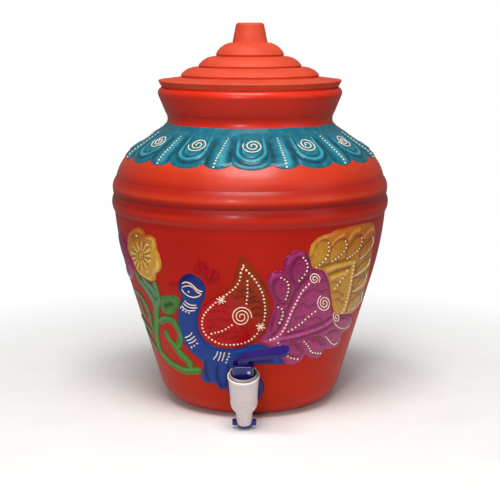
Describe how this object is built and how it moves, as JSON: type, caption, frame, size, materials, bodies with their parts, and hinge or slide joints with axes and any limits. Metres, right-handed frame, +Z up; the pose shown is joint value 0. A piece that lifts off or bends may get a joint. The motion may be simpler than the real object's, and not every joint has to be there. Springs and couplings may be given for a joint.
{
  "type": "clay water pot with tap",
  "caption": "Painted clay water pot with a stepped clay lid that lifts off and a push-lever tap low in its wall.",
  "frame": {"origin": "centre of the base's flat underside, on the pot's axis", "axes": "+Z up along the pot's axis, the tap points along -Y, the lever at rest points along +X"},
  "size_m": [0.2768, 0.2844, 0.379],
  "materials": {
    "pot_clay": "painted terracotta, satin",
    "lid_clay": "painted terracotta, matte",
    "white_plastic": "moulded, semi-gloss",
    "bonnet_plastic": "moulded, gloss",
    "black_rubber": "moulded",
    "blue_plastic": "moulded, gloss",
    "lever_plastic": "moulded, satin",
    "ring_plastic": "moulded, gloss",
    "pin_steel": "drawn wire",
    "spring_steel": "drawn wire",
    "stem_plastic": "moulded",
    "silicone": "moulded silicone",
    "washer_rubber": "cut sheet"
  },
  "bodies": {
    "pot": {"pot_body": "pot_clay", "tap_body": "white_plastic", "bonnet": "bonnet_plastic", "stem_oring": "black_rubber", "bonnet_oring": "black_rubber", "stem_spring": "spring_steel", "outer_washer": "washer_rubber", "wall_ring": "ring_plastic", "inner_washer": "washer_rubber", "shank_nut": "white_plastic", "outlet_ring": "ring_plastic"},
    "lid": {"lid": "lid_clay"},
    "hub": {"hub": "blue_plastic", "lever_pin": "pin_steel"},
    "lever": {"lever": "lever_plastic"},
    "stem": {"stem": "stem_plastic", "seat_cup": "silicone"}
  },
  "joints": [
    {"name": "lid_lift", "type": "slide", "parent": "pot", "child": "lid", "axis": [0, 0, 1], "range_m": [0, 0.12]},
    {"name": "hub_swivel", "type": "hinge", "parent": "pot", "child": "hub", "pos_m": [0, -0.12003, 0.02703], "axis": [0, -0.309, 0.9511], "range_deg": [-200, 20]},
    {"name": "lever_press", "type": "hinge", "parent": "hub", "child": "lever", "pos_m": [0.0055, -0.13224, 0.06459], "axis": [0, 0.9511, 0.309], "range_deg": [0, 20], "stiffness_Nm_per_rad": 0.1, "springref_deg": -8.59},
    {"name": "stem_lift", "type": "slide", "parent": "hub", "child": "stem", "axis": [0, -0.309, 0.9511], "range_m": [0, 0.002], "deforming": ["stem_spring"]}
  ],
  "couplings": [
    {"joint": "stem_lift", "follows": "lever_press", "m_per_rad": 0.0056}
  ]
}
